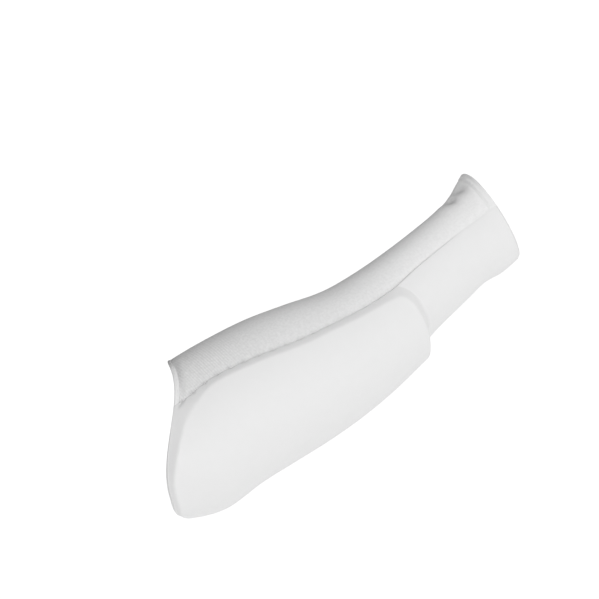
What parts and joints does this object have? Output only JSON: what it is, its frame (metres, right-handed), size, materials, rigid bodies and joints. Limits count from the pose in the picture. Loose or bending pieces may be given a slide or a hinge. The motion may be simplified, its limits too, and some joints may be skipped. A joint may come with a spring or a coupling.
{
  "type": "forearm pad",
  "caption": "White pull-on forearm guard: a knitted elastic sleeve with a raised, cloth-covered foam pad along its outer side and a tongue towards the elbow.",
  "frame": {"origin": "on the forearm's axis inside the hollow, a little past the middle of the sleeve towards the wrist", "axes": "+X along the forearm to the wrist opening, +Z towards the thumb side, -Y the outer side that carries the pad"},
  "size_m": [0.2963, 0.0886, 0.104],
  "materials": {
    "knit": "white ribbed elastic knit, matte",
    "cover": "smooth white jersey, matte",
    "hem": "turned white knit hem, matte",
    "foam": "white polyurethane foam"
  },
  "bodies": {
    "root": {"sleeve": "knit", "foam_pad": "foam", "pad_cover": "cover", "elbow_hem": "hem", "wrist_hem": "hem"}
  },
  "joints": []
}
